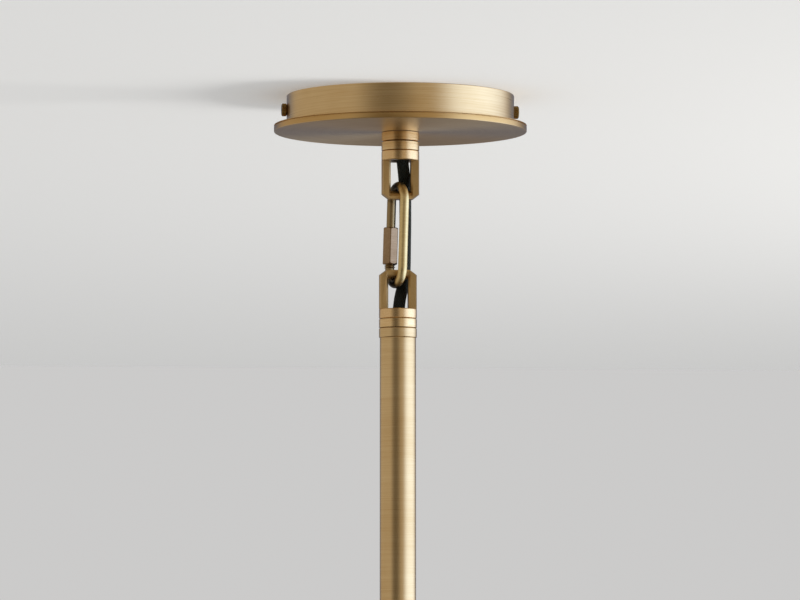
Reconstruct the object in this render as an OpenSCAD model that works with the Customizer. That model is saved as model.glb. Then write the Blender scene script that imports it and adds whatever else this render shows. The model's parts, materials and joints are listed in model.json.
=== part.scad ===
// Rise and fall pendant: ceiling canopy, quick link, telescopic stem, lampholder and shade.
// Millimetres. The origin is the canopy's centre at the ceiling, +Z is up, and +X points
// along the row of the two side screws.

/* [Canopy] */
// Outer diameter of the drum that meets the ceiling
drum_d = 126; // [112:1:150]
// Height of the drum
drum_h = 16.3; // [16.3:0.1:24]
// Sheet thickness of the drum and its inner flange
drum_wall = 1.2; // [0.8:0.1:1.6]
// Width of the drum's inner flange
flange_w = 11; // [10:0.5:14]
// How far the disc stands out past the drum
disc_lip = 7; // [3:0.5:12]
// Thickness of the disc
disc_t = 3.7; // [2.5:0.1:5]
// Radius of the disc's rounded rim
rim_r = 0.6; // [0.2:0.1:1]
// Distance of the side screws' axis below the ceiling
side_screw_drop = 8.2; // [7:0.1:10]
// Diameter of a side screw's knurled head
knob_d = 7.1; // [6:0.1:9]
// Length of a side screw's knurled head
knob_l = 3; // [2:0.5:5]

/* [Ceiling strap] */
// Width of the steel strap
strap_w = 18; // [14:1:24]
// Thickness of the strap
strap_t = 1.6; // [1.2:0.1:2]
// Centre distance of the two slots for the ceiling box's screws
slot_spacing = 79.4; // [70:0.1:84]
// End-to-end length of a slot
slot_l = 14.2; // [8:0.1:16]
// Width of a slot
slot_w = 4.6; // [4:0.1:5.2]

/* [Collars and stirrups] */
// Outer diameter of the collar rings
ring_d = 20.9; // [20.4:0.1:24]
// Height of one collar ring
ring_h = 5.3; // [5:0.1:7]
// Bevel on the edges of a ring
ring_bevel = 0.35; // [0.1:0.05:0.6]
// Clear width of a stirrup's window
window_w = 11.2; // [11:0.1:12]
// Clear height of a stirrup's window
window_h = 16.7; // [15:0.1:20]
// Thickness of a stirrup between its two flats
stirrup_t = 8; // [7:0.1:8.6]
// Height of a stirrup's cross bar
bar_h = 4.8; // [4.2:0.1:6]
// Bevel on the inner edges of a stirrup's legs
window_bevel = 1; // [0.6:0.1:1.2]
// Outer diameter of the threaded nipples
nipple_d = 13; // [12.6:0.1:13.4]
// Bore of the nipples
nipple_bore = 9.6; // [9.3:0.1:10]

/* [Quick link] */
// Diameter of the link's wire
wire_d = 5; // [4:0.1:5.4]
// Inner length of the link
link_inner_l = 49.3; // [49:0.1:60]
// Inner width between the link's arms
link_inner_w = 12.6; // [12:0.1:14]
// Turn of the link's plane from the stirrups' bars
link_turn = -71.5; // [-75:0.5:-68]
// Lean of the link where it hangs
link_lean = 1.8; // [0:0.1:2.5]
// Width across the flats of the sleeve
sleeve_af = 8; // [7.6:0.1:8.2]
// Length of the sleeve
sleeve_l = 20.4; // [19:0.1:21]
// Opening in the arm behind the sleeve
gate_gap = 6.5; // [5:0.1:7]

/* [Cord] */
// Diameter of the braided cord
cord_d = 6.7; // [6:0.1:6.9]

/* [Stem] */
// Outer diameter of the stem's outer tube
tube_d = 20; // [20:0.1:20.3]
// Wall of the outer tube
tube_wall = 1; // [0.8:0.1:1.2]
// Length of the outer tube
tube_l = 300; // [260:5:600]
// Outer diameter of the sliding inner tube
inner_d = 16; // [15.6:0.1:16.2]
// Wall of the inner tube
inner_wall = 1.5; // [1.2:0.1:1.6]
// Length of the inner tube
inner_l = 200; // [180:5:220]
// How far the inner tube shows below the clamp at rest
shown_l = 57.8; // [40:1:70]
// Outer diameter of the clamp collar
clamp_d = 26; // [24:0.5:30]

/* [Shade and lamp] */
// Diameter of the shade at its mouth
shade_d = 220; // [180:5:300]
// Height of the shade
shade_h = 110; // [110:5:140]
// Sheet thickness of the shade
shade_wall = 1; // [0.8:0.1:1.5]
// Outer diameter of the lampholder
holder_d = 38; // [38:0.5:40]
// Diameter of the bulb
bulb_d = 60; // [45:1:80]

/* [Fits] */
// Radial gap of a running fit
run_gap = 0.05; // [0.02:0.01:0.1]
// Radial gap between joined threads and spigots
thread_gap = 0.03; // [0.02:0.01:0.05]
// Gap where the link hangs on a bar
hang_gap = 0.2; // [0.1:0.05:0.4]

/* [Hidden] */
$fn = 96;
cut = 1; // how far a cutter runs past the face it cuts

// Canopy, from the ceiling down
drum_r = drum_d / 2;
disc_z = -drum_h - disc_t;
ear_x = sqrt(pow(drum_r - drum_wall - 0.3, 2) - pow(strap_w / 2, 2));
ear_l = side_screw_drop + 4.5;
side_shank_d = 4;
side_shank_l = 8;
flange_screw_d = 3;
flange_screw_r = drum_r - drum_wall - 6;
flange_screw_bite = 2;
flange_screws = 4;
washer_d = 24;
washer_t = 1.5;
nut_af = 17;
nut_h = 4;
nut_top = -drum_h + washer_t + nut_h;
nipple_top = nut_top + 0.5;
grip_top = nut_top + 3.5;
grip_d = 15;

// Terminal block on the disc, and the earth screw on the strap
block = [19, 14, 9];
block_y = 30;
way_pitch = 8;
way_d = 3.2;
way_z = -drum_h + block[2] / 2;
wire_r = 1;
earth_x = 26;
tag_t = 0.8;

// Collars, stirrups and link
ring_r = ring_d / 2;
thread_r = nipple_d / 2 + thread_gap;
stirrup_top = disc_z - 2 * ring_h;
window_top = stirrup_top - ring_h;
bar_top = window_top - window_h;
stirrup_h = ring_h + window_h + bar_h;
end_bevel = [3.5, 2.7];
link_mid = bar_top + hang_gap - link_inner_l / 2;
link_x = -1.8;
arm_u = (link_inner_w + wire_d) / 2;
arm_half = link_inner_l / 2 - link_inner_w / 2;
sleeve_top = 4.7;
gate_top = -4.9;
low_bar_face = link_mid - link_inner_l / 2 + hang_gap;
low_ring_z = low_bar_face - window_h;
nipple_low_end = window_top + 2;

// Stem, under the lower stirrup's ring
stem_x = -1.35;
plug_z = low_ring_z - 2 * ring_h;
tube_top = plug_z - ring_h;
tube_end = tube_top - tube_l;
tube_r = tube_d / 2;
bore_r = tube_r - tube_wall;
plug_spigot = 14;
low_nipple_top = low_ring_z - 2;
low_nipple_l = 20;
clamp_over = 12;
clamp_lip = 8;
clamp_end = tube_end - clamp_lip;
lock_z = tube_end - clamp_lip / 2;
lock_shank_d = 4;
inner_r = inner_d / 2;
inner_end = clamp_end - shown_l;
inner_top = inner_end + inner_l;
bush_l = 16;
piston_l = 12;
coil_top = tube_top - plug_spigot;
coil_d = 15;
lead_d = 5;

// Lampholder, shade and bulb, under the inner tube
stub_l = 10;
stub_flange = 2;
lamp_nipple_d = 10;
cap_top = inner_end - stub_flange;
cap_h = 24;
holder_r = holder_d / 2;
holder_top = cap_top - cap_h;
holder_l = 40;
holder_wall = 1.4;
collar_drop = 8;
collar_t = 2;
seat_z = holder_top - collar_drop - collar_t;
seat_r = holder_r + 8;
core_top = holder_top + 2;
core_h = 14;
core_z = core_top - core_h;
screw_shell_r = 14.1;
lamp_cap_r = 13.25;
lamp_cap_h = 25;
contact_h = 2.5;
lamp_top = core_z - contact_h - 0.1;
bulb_r = bulb_d / 2;
bulb_neck_r = 12.6;
bulb_top = lamp_top - lamp_cap_h;
bulb_z = bulb_top - 10 - bulb_r;
shade_r = shade_d / 2;
shade_end = seat_z - shade_h;
glass_t = 0.8;
bulb_mount_r = 3;

// Route of the cord's centre from the canopy to the middle of the link, then to the stem
CORD_UPPER = [
    [0, 0, grip_top + 0.2], [0, 0, -16], [0, 0, -22], [0.2, 0.3, -28.5], [0.9, 1.6, -36],
    [1.8, 3.9, -42.5], [2.8, 6.5, -48.5], [3.4, 8.1, -54.5], [3.6, 8.6, -61], [3.6, 8.6, -69],
    [3.5, 8.6, -77]
];
CORD_LOWER = [
    [3.5, 8.6, -77], [3.4, 8.6, -85], [3.3, 8.5, -92], [3, 8.2, -98.5], [2.2, 7, -104.5],
    [0.6, 4.7, -110.5], [-0.5, 2.2, -116.5], [-1.1, 0.6, -123], [stem_x, 0.1, -130],
    [stem_x, 0, -138], [stem_x, 0, coil_top]
];
wire_start = grip_top + 0.7;
block_face = block_y - block[1] / 2;
LIVE_ROUTE = [
    [-1.2, 0.8, wire_start], [-1.4, 1.6, wire_start + 2], [-2, 4, wire_start + 3.2], [-3, 9, -4.6],
    [-3.8, 14, -7], [-4, 18, -10.5], [-4, block_face - 1, way_z], [-4, block_face + 4, way_z]
];
NEUTRAL_ROUTE = [
    [1.2, 0.8, wire_start], [1.4, 1.6, wire_start + 2], [2, 4, wire_start + 3.2], [3, 9, -4.6],
    [3.8, 14, -7], [4, 18, -10.5], [4, block_face - 1, way_z], [4, block_face + 4, way_z]
];
EARTH_ROUTE = [
    [0.2, -1.5, wire_start], [0.8, -1.8, wire_start + 2], [3, -1.8, wire_start + 3.2],
    [8, -1, -4.2], [13, -0.3, -4], [earth_x - 9, 0, -4]
];

// ---------- shared shapes ----------

function unit(v) = v / norm(v);

// Points of a ring of SIDES points round C, square to direction T
function ring_points(c, t, r, sides) =
    let (a = unit(cross([1, 0, 0], t)), b = cross(t, a))
    [for (k = [0:sides - 1]) c + r * (cos(360 * k / sides) * a + sin(360 * k / sides) * b)];

// A round tube along a list of points
module sweep(path, r, sides) {
    last = len(path) - 1;
    verts = [
        for (i = [0:last])
            each ring_points(path[i], unit(path[min(i + 1, last)] - path[max(i - 1, 0)]), r, sides)
    ];
    walls = [
        for (i = [0:last - 1], k = [0:sides - 1])
            let (a = i * sides + k, b = i * sides + (k + 1) % sides)
            each [[a, b + sides, b], [a, a + sides, b + sides]]
    ];
    ends = [
        [for (k = [0:sides - 1]) k],
        [for (k = [sides - 1:-1:0]) last * sides + k]
    ];
    polyhedron(verts, concat(walls, ends));
}

// A round tube of radii R1 and R0 that hangs from height Z by H
module tube(r1, r0, z, h) {
    translate([0, 0, z - h]) difference() {
        cylinder(r = r1, h = h);
        translate([0, 0, -cut]) cylinder(r = r0, h = h + 2 * cut);
    }
}

// A collar ring with bevelled edges, from height Z down
module collar_ring(z, bore) {
    translate([0, 0, z - ring_h]) rotate_extrude() polygon([
        [bore, 0], [ring_r - ring_bevel, 0], [ring_r, ring_bevel],
        [ring_r, ring_h - ring_bevel], [ring_r - ring_bevel, ring_h], [bore, ring_h]
    ]);
}

// A stirrup hanging from z = 0: a threaded ring, two legs and a cross bar rounded for the link
module stirrup() {
    bar_low = -stirrup_h;
    difference() {
        collar_ring(0, nipple_d / 2 - 1);
        translate([0, 0, -ring_h + 2 - thread_gap]) cylinder(r = thread_r, h = ring_h);
    }
    difference() {
        intersection() {
            rotate_extrude() polygon([
                [0, -ring_h], [0, bar_low], [ring_r - end_bevel[0], bar_low],
                [ring_r, bar_low + end_bevel[1]], [ring_r, -ring_h]
            ]);
            translate([-ring_d, -stirrup_t / 2, bar_low]) cube([2 * ring_d, stirrup_t, stirrup_h]);
        }
        difference() {
            translate([0, 0, bar_low - cut]) linear_extrude(window_h + bar_h + cut) window_outline();
            stirrup_bar(bar_low);
        }
    }
}

// Outline of the window seen from above: straight, with its four corners bevelled for the link
module window_outline() {
    x = window_w / 2;
    y = stirrup_t / 2;
    polygon([
        [x, window_bevel - y], [x, y - window_bevel], [x + window_bevel + cut, y + cut],
        [-x - window_bevel - cut, y + cut], [-x, y - window_bevel], [-x, window_bevel - y],
        [-x - window_bevel - cut, -y - cut], [x + window_bevel + cut, -y - cut]
    ]);
}

// The cross bar's section, rounded on the side where the link hangs
module stirrup_bar(bar_low) {
    round_z = bar_low + bar_h - stirrup_t / 2;
    intersection() {
        union() {
            translate([-window_w, 0, round_z]) rotate([0, 90, 0])
                cylinder(d = stirrup_t, h = 2 * window_w);
            translate([-window_w, -stirrup_t / 2, bar_low - 2 * cut])
                cube([2 * window_w, stirrup_t, round_z - bar_low + 2 * cut]);
        }
        translate([-window_w, -stirrup_t, bar_low - 2 * cut])
            cube([2 * window_w, 2 * stirrup_t, bar_h + 2 * cut]);
    }
}

// A knurled knob along +X from x = 0: a toothed drum between two plain ends
module knob(d, l, teeth) {
    tooth = 0.2;
    plain_end = 0.4;
    rotate([0, 90, 0]) {
        cylinder(r = d / 2 - 2 * tooth, h = l);
        translate([0, 0, plain_end]) linear_extrude(l - 2 * plain_end) polygon([
            for (k = [0:2 * teeth - 1])
                (d / 2 - (k % 2) * tooth) * [cos(180 * k / teeth), sin(180 * k / teeth)]
        ]);
    }
}

// A pan-head screw hanging from z = 0, shank down
module pan_screw(d, l, head_d, head_h) {
    translate([0, 0, -l]) cylinder(d = d, h = l);
    rotate_extrude() polygon([
        [0, 0], [head_d / 2, 0], [head_d / 2, head_h * 0.5], [head_d / 2 - head_h * 0.5, head_h],
        [0, head_h]
    ]);
}

// Places for the screws in the drum's flange, clear of the strap
module at_flange_screws() {
    for (k = [0:flange_screws - 1])
        rotate([0, 0, (k + 0.5) * 360 / flange_screws])
            translate([flange_screw_r, 0, -drum_h]) children();
}

// Places for the terminal block's two mounting screws
module at_block_screws() {
    for (s = [-1, 1]) translate([0, block_y + s * (block[1] / 2 - 2.2), -drum_h]) children();
}

// ---------- ceiling strap and canopy ----------

module mounting_strap() color("silver") difference() {
    union() {
        translate([-ear_x, -strap_w / 2, -strap_t]) cube([2 * ear_x, strap_w, strap_t]);
        for (s = [0, 1]) mirror([s, 0, 0])
            translate([ear_x - strap_t, -strap_w / 2, -ear_l]) cube([strap_t, strap_w, ear_l]);
    }
    for (s = [-1, 1]) translate([s * slot_spacing / 2, 0, -strap_t - cut])
        linear_extrude(strap_t + 2 * cut) {
            square([slot_l - slot_w, slot_w], center = true);
            for (e = [-1, 1]) translate([e * (slot_l - slot_w) / 2, 0]) circle(d = slot_w);
        }
    translate([-drum_r, 0, -side_screw_drop]) rotate([0, 90, 0])
        cylinder(d = side_shank_d + 2 * run_gap, h = drum_d);
    translate([earth_x, 0, -strap_t - cut])
        cylinder(d = 4 + 2 * thread_gap, h = strap_t + 2 * cut);
}

module earth_screw() color("seagreen")
    translate([earth_x, 0, -strap_t - tag_t]) mirror([0, 0, 1])
        pan_screw(4, strap_t + tag_t - 0.2, 7, 2.4);

module earth_tag() color("lightgrey") difference() {
    union() {
        translate([earth_x, 0, -strap_t - tag_t]) cylinder(r = 4.4, h = tag_t);
        translate([earth_x - 7, -1.5, -strap_t - tag_t]) cube([4, 3, tag_t]);
        translate([earth_x - 9, 0, -4]) rotate([0, 90, 0]) cylinder(r = 1.65, h = 4);
    }
    translate([earth_x, 0, -strap_t - tag_t - cut])
        cylinder(d = 4 + 2 * thread_gap, h = tag_t + 2 * cut);
    translate([earth_x - 9 - cut, 0, -4]) rotate([0, 90, 0]) cylinder(r = wire_r + 0.1, h = 3);
}

module canopy_drum() color("#b8925a") difference() {
    rotate_extrude() polygon([
        [drum_r - drum_wall - flange_w, -drum_h], [drum_r, -drum_h], [drum_r, 0],
        [drum_r - drum_wall, 0], [drum_r - drum_wall, -drum_h + drum_wall],
        [drum_r - drum_wall - flange_w, -drum_h + drum_wall]
    ]);
    translate([-drum_r - cut, 0, -side_screw_drop]) rotate([0, 90, 0])
        cylinder(d = side_shank_d + 0.6, h = drum_d + 2 * cut);
    at_flange_screws() translate([0, 0, -cut])
        cylinder(d = flange_screw_d + 0.3, h = drum_wall + 2 * cut);
}

module canopy_disc() color("#a98558") difference() {
    r = drum_r + disc_lip;
    translate([0, 0, disc_z]) rotate_extrude() union() {
        square([r - rim_r, disc_t]);
        translate([0, rim_r]) square([r, disc_t - 2 * rim_r]);
        for (z = [rim_r, disc_t - rim_r]) translate([r - rim_r, z]) circle(r = rim_r);
    }
    translate([0, 0, disc_z - cut]) cylinder(r = thread_r, h = disc_t + 2 * cut);
    at_flange_screws() translate([0, 0, -flange_screw_bite - 0.2])
        cylinder(d = flange_screw_d + 2 * thread_gap, h = flange_screw_bite + cut);
    at_block_screws() translate([0, 0, -flange_screw_bite - 0.2])
        cylinder(d = 2 + 2 * thread_gap, h = flange_screw_bite + cut);
}

module canopy_screws() color("silver")
    at_flange_screws() translate([0, 0, drum_wall])
        pan_screw(flange_screw_d, drum_wall + flange_screw_bite, 5.6, 1.8);

// A knurled screw through the drum into the strap's ear, on the +X side
module side_screw() {
    translate([drum_r + run_gap, 0, -side_screw_drop]) {
        knob(knob_d, knob_l, 20);
        translate([-side_shank_l, 0, 0]) rotate([0, 90, 0])
            cylinder(d = side_shank_d, h = side_shank_l + 0.5);
    }
}

module side_screw_left() color("#8f6b34") mirror([1, 0, 0]) side_screw();

module side_screw_right() color("#8f6b34") side_screw();

module canopy_nipple() color("silver")
    tube(nipple_d / 2, nipple_bore / 2, nipple_top, nipple_top - nipple_low_end);

module nipple_washer() color("silver")
    tube(washer_d / 2, thread_r, -drum_h + washer_t, washer_t);

module nipple_nut() color("silver") translate([0, 0, nut_top - nut_h]) difference() {
    cylinder(d = nut_af / cos(30), h = nut_h, $fn = 6);
    translate([0, 0, -cut]) cylinder(r = thread_r, h = nut_h + 2 * cut);
}

module cord_grip() color("white") difference() {
    translate([0, 0, nut_top]) cylinder(d = grip_d, h = grip_top - nut_top);
    translate([0, 0, nut_top - cut]) cylinder(r = cord_d / 2 + run_gap, h = 10);
    translate([0, 0, nut_top - cut]) cylinder(r = thread_r, h = nipple_top - nut_top + cut + 0.1);
}

module terminal_block() color("ivory") difference() {
    translate([-block[0] / 2, block_y - block[1] / 2, -drum_h]) cube(block);
    for (s = [-1, 1]) translate([s * way_pitch / 2, block_y - block[1] / 2 - cut, way_z])
        rotate([-90, 0, 0]) cylinder(d = way_d, h = block[1] + 2 * cut);
    for (s = [-1, 1], e = [-1, 1]) translate([s * way_pitch / 2, block_y + e * 3.4, way_z])
        cylinder(d = 2.6 + 2 * thread_gap, h = block[2]);
    at_block_screws() translate([0, 0, -cut]) cylinder(d = 2.3, h = block[2] + 2 * cut);
}

module terminal_screws() color("silver") {
    for (s = [-1, 1], e = [-1, 1])
        translate([s * way_pitch / 2, block_y + e * 3.4, way_z + wire_r + 0.1]) difference() {
            cylinder(d = 2.6, h = 2.8);
            translate([-2, -0.25, 2.2]) cube([4, 0.5, 1]);
        }
    at_block_screws() translate([0, 0, block[2]])
        pan_screw(2, block[2] + flange_screw_bite, 3.4, 1.2);
}

module live_wire() color("sienna") sweep(LIVE_ROUTE, wire_r, 8);

module neutral_wire() color("steelblue") sweep(NEUTRAL_ROUTE, wire_r, 8);

module earth_wire() color("yellowgreen") sweep(EARTH_ROUTE, wire_r, 8);

// ---------- collars, stirrups, link and cord ----------

module collar_ring_1() color("#b8925a") collar_ring(disc_z, thread_r);

module collar_ring_2() color("#b8925a") collar_ring(disc_z - ring_h, thread_r);

module upper_stirrup() color("#b8925a") translate([0, 0, stirrup_top]) stirrup();

module cord_upper() color("#1c1f1d") sweep(CORD_UPPER, cord_d / 2, 12);

// Puts a shape from the link's own plane, X across and Z along it, into its hanging place
module in_link_plane() {
    translate([link_x, 0, link_mid]) rotate([0, 0, link_turn]) rotate([-link_lean, 0, 0]) children();
}

// Half a turn of the link's wire round its end
module link_end() {
    translate([0, 0, arm_half]) rotate([90, 0, 0]) rotate_extrude(angle = 180)
        translate([arm_u, 0]) circle(d = wire_d);
}

module quick_link() color("#c39c5c") in_link_plane() {
    link_end();
    mirror([0, 0, 1]) link_end();
    translate([arm_u, 0, -arm_half]) cylinder(d = wire_d, h = 2 * arm_half);
    translate([-arm_u, 0, gate_top]) cylinder(d = wire_d, h = arm_half - gate_top);
    translate([-arm_u, 0, -arm_half])
        cylinder(d = wire_d, h = arm_half + gate_top - gate_gap);
}

module link_sleeve() color("#c39c5c") in_link_plane()
    translate([-arm_u, 0, sleeve_top - sleeve_l]) difference() {
        intersection() {
            rotate([0, 0, -24]) cylinder(d = sleeve_af / cos(30), h = sleeve_l, $fn = 6);
            rotate_extrude() polygon([
                [0, 0], [sleeve_af / 2, 0], [sleeve_af / 2 + 0.7, 0.7],
                [sleeve_af / 2 + 0.7, sleeve_l - 0.7], [sleeve_af / 2, sleeve_l], [0, sleeve_l]
            ]);
        }
        translate([0, 0, -cut]) cylinder(r = wire_d / 2 + run_gap, h = sleeve_l + 2 * cut);
    }

// ---------- stem ----------

module lower_stirrup() color("#b8925a")
    translate([stem_x, 0, low_ring_z - ring_h]) mirror([0, 0, 1]) stirrup();

module lower_collar_ring() color("#b8925a")
    translate([stem_x, 0, 0]) collar_ring(low_ring_z - ring_h, thread_r);

module stem_nipple() color("silver") translate([stem_x, 0, 0])
    tube(nipple_d / 2, nipple_bore / 2, low_nipple_top, low_nipple_l);

module stem_plug() color("#b8925a") translate([stem_x, 0, 0]) difference() {
    union() {
        collar_ring(plug_z, 2);
        translate([0, 0, coil_top]) cylinder(r = bore_r - thread_gap, h = plug_spigot + 1);
    }
    translate([0, 0, low_nipple_top - low_nipple_l - 0.2]) cylinder(r = thread_r, h = 40);
    translate([0, 0, coil_top - cut]) cylinder(r = nipple_bore / 2, h = 40);
}

module outer_tube() color("#b8925a") translate([stem_x, 0, 0])
    tube(tube_r, bore_r, tube_top, tube_l);

module mouth_bush() color("whitesmoke") translate([stem_x, 0, 0])
    tube(bore_r - thread_gap, inner_r + run_gap, tube_end + bush_l, bush_l);

module clamp_collar() color("#b8925a") translate([stem_x, 0, 0]) difference() {
    translate([0, 0, clamp_end]) rotate_extrude() polygon([
        [inner_r + 0.3, 0], [clamp_d / 2 - 0.5, 0], [clamp_d / 2, 0.5],
        [clamp_d / 2, clamp_lip + clamp_over - 0.5], [clamp_d / 2 - 0.5, clamp_lip + clamp_over],
        [tube_r + thread_gap, clamp_lip + clamp_over], [tube_r + thread_gap, clamp_lip],
        [inner_r + 0.3, clamp_lip]
    ]);
    translate([0, 0, lock_z]) rotate([0, 90, 0])
        cylinder(d = lock_shank_d + 2 * run_gap, h = clamp_d);
    translate([0, 0, tube_end + clamp_over / 2]) rotate([0, -90, 0])
        cylinder(d = 3 + 2 * thread_gap, h = clamp_d);
}

module clamp_set_screw() color("silver")
    translate([stem_x - tube_r - 0.1, 0, tube_end + clamp_over / 2]) rotate([0, -90, 0])
        difference() {
            cylinder(d = 3, h = clamp_d / 2 - tube_r - 0.4);
            translate([0, 0, clamp_d / 2 - tube_r - 1.6]) cylinder(d = 1.6, h = 2, $fn = 6);
        }

module cord_lower() color("#1c1f1d") sweep(CORD_LOWER, cord_d / 2, 12);

module coiled_lead() color("#222222")
    translate([stem_x, 0, inner_top]) cylinder(d = coil_d, h = coil_top - inner_top);

module lock_screw() color("#8f6b34")
    translate([stem_x + clamp_d / 2 + run_gap, 0, lock_z]) {
        translate([2, 0, 0]) knob(9, 6, 24);
        translate([0, 0, 0]) rotate([0, 90, 0]) cylinder(d = 5.4, h = 2.5);
        translate([inner_r + 1.5 - clamp_d / 2, 0, 0]) rotate([0, 90, 0])
            cylinder(d = lock_shank_d, h = clamp_d / 2 - inner_r);
    }

module lock_pad() color("whitesmoke")
    translate([stem_x + inner_r + 0.1, 0, lock_z]) rotate([0, 90, 0])
        cylinder(d = 3.2, h = 1.4 + run_gap);

// ---------- sliding inner tube and lampholder ----------

module inner_tube() color("#b8925a") translate([stem_x, 0, 0])
    tube(inner_r, inner_r - inner_wall, inner_top, inner_l);

module piston_bush() color("whitesmoke") translate([stem_x, 0, 0])
    tube(bore_r - run_gap, inner_r + thread_gap, inner_top, piston_l);

module tube_stub() color("#b8925a") translate([stem_x, 0, 0]) difference() {
    union() {
        translate([0, 0, cap_top]) cylinder(r = inner_r + 1, h = stub_flange);
        translate([0, 0, inner_end]) cylinder(r = inner_r - inner_wall - thread_gap, h = stub_l);
    }
    translate([0, 0, cap_top - cut]) cylinder(d = lamp_nipple_d + 2 * thread_gap, h = 20);
}

module lamp_lead() color("#222222") translate([stem_x, 0, core_top])
    cylinder(d = lead_d, h = inner_top - core_top);

module lamp_nipple() color("silver") translate([stem_x, 0, 0])
    tube(lamp_nipple_d / 2, 3.6, cap_top + stub_l, stub_l + 6);

// A spun cap whose shoulder is a quarter ellipse from the neck to the lampholder's side
module holder_cap() color("#b8925a") translate([stem_x, 0, 0]) rotate_extrude() {
    neck = inner_r + 1;
    rise = cap_h - 8;
    outer = [for (k = [0:12]) [neck + (holder_r - neck) * sin(7.5 * k),
                               cap_top - 2 - rise * (1 - cos(7.5 * k))]];
    inner = [for (k = [12:-1:0]) [neck - 2 + (holder_r - neck + 2 - holder_wall) * sin(7.5 * k),
                                  cap_top - 3.4 - (rise - 1.4) * (1 - cos(7.5 * k))]];
    bore = lamp_nipple_d / 2 + thread_gap;
    polygon(concat(
        [[bore, cap_top], [neck, cap_top]], outer,
        [[holder_r, holder_top], [holder_r - holder_wall, holder_top]], inner,
        [[bore, cap_top - 3.4]]
    ));
}

module holder_shell() color("#b8925a") translate([stem_x, 0, 0]) {
    tube(holder_r, holder_r - holder_wall, holder_top, holder_l);
    tube(seat_r - 2, holder_r - holder_wall, holder_top - collar_drop, collar_t);
}

module holder_core() color("ivory") translate([stem_x, 0, 0]) difference() {
    translate([0, 0, holder_top - holder_l + 2])
        cylinder(r = holder_r - holder_wall - thread_gap, h = core_top - holder_top + holder_l - 2);
    translate([0, 0, holder_top - holder_l + 2 - cut])
        cylinder(r = screw_shell_r + thread_gap, h = core_z - holder_top + holder_l - 2 + cut);
}

module holder_screw_shell() color("gold") translate([stem_x, 0, 0])
    tube(screw_shell_r, lamp_cap_r + 0.15, core_z, holder_l - core_h - 2);

module centre_contact() color("gold") translate([stem_x, 0, core_z - contact_h])
    cylinder(r = 3, h = contact_h);

module shade_ring() color("#b8925a") translate([stem_x, 0, seat_z - shade_wall - 6])
    rotate_extrude() polygon([
        [holder_r + thread_gap, 0], [seat_r - 3, 0], [seat_r - 2, 1], [seat_r - 2, 6],
        [holder_r + thread_gap, 6]
    ]);

// A spun dome: a flat neck washer, then a quarter ellipse out to the mouth
module shade() color("#b8925a") translate([stem_x, 0, 0]) rotate_extrude() {
    outer = [for (k = [0:30]) [seat_r + (shade_r - seat_r) * sin(3 * k),
                               seat_z - shade_h * (1 - cos(3 * k))]];
    inner = [for (k = [30:-1:0]) [seat_r + (shade_r - shade_wall - seat_r) * sin(3 * k),
                                  seat_z - shade_wall - (shade_h - shade_wall) * (1 - cos(3 * k))]];
    polygon(concat([[holder_r + 0.2, seat_z]], outer, inner, [[holder_r + 0.2, seat_z - shade_wall]]));
}

// ---------- bulb ----------

module bulb_cap() color("silver") translate([stem_x, 0, 0]) difference() {
    translate([0, 0, bulb_top]) rotate_extrude() polygon([
        [0, 0], [lamp_cap_r, 0], [lamp_cap_r, lamp_cap_h - 5], [6, lamp_cap_h - 1.5],
        [5, lamp_cap_h - 1.5], [4, lamp_cap_h], [0, lamp_cap_h]
    ]);
    translate([0, 0, bulb_top - cut]) cylinder(r = lamp_cap_r - 0.6, h = lamp_cap_h - 6 + cut);
}

// The glass: a neck that widens into a ball, blown to an even wall
module bulb_glass() color("white", 0.4) translate([stem_x, 0, 0]) rotate_extrude() {
    from = acos(bulb_neck_r / bulb_r);
    outer = [for (k = [0:23]) let (a = from - (90 + from) * k / 24)
        [bulb_r * cos(a), bulb_z + bulb_r * sin(a)]];
    inner = [for (k = [23:-1:0]) let (a = from - (90 + from) * k / 24)
        [(bulb_r - glass_t) * cos(a), bulb_z + (bulb_r - glass_t) * sin(a)]];
    neck = lamp_cap_r - 0.7;
    polygon(concat(
        [[neck, bulb_top + 4]], outer, [[0, bulb_z - bulb_r], [0, bulb_z - bulb_r + glass_t]],
        inner, [[neck - glass_t, bulb_top + 4]]
    ));
}

module bulb_mount() color("white") translate([stem_x, 0, bulb_z + 8])
    cylinder(r = bulb_mount_r, h = bulb_top + lamp_cap_h - 6 - bulb_z - 8);

module bulb_filaments() color("orange") translate([stem_x, 0, 0])
    for (k = [0:3]) rotate([0, 0, 90 * k + 45]) hull() {
        translate([bulb_mount_r + 0.85, 0, bulb_z + 9]) sphere(r = 0.8, $fn = 16);
        translate([11, 0, bulb_z - 12]) sphere(r = 0.8, $fn = 16);
    }

// ---------- the assembly ----------

mounting_strap();
earth_screw();
earth_tag();
canopy_drum();
canopy_disc();
canopy_screws();
side_screw_left();
side_screw_right();
canopy_nipple();
nipple_washer();
nipple_nut();
cord_grip();
terminal_block();
terminal_screws();
live_wire();
neutral_wire();
earth_wire();
collar_ring_1();
collar_ring_2();
upper_stirrup();
cord_upper();
quick_link();
link_sleeve();
lower_stirrup();
lower_collar_ring();
stem_nipple();
stem_plug();
outer_tube();
mouth_bush();
clamp_collar();
clamp_set_screw();
cord_lower();
coiled_lead();
lock_screw();
lock_pad();
inner_tube();
piston_bush();
tube_stub();
lamp_lead();
lamp_nipple();
holder_cap();
holder_shell();
holder_core();
holder_screw_shell();
centre_contact();
shade_ring();
shade();
bulb_cap();
bulb_glass();
bulb_mount();
bulb_filaments();
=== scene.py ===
# Rise and fall pendant in brushed brass. Metres, +Z up, origin on the ceiling at the canopy's centre.
import math

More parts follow.
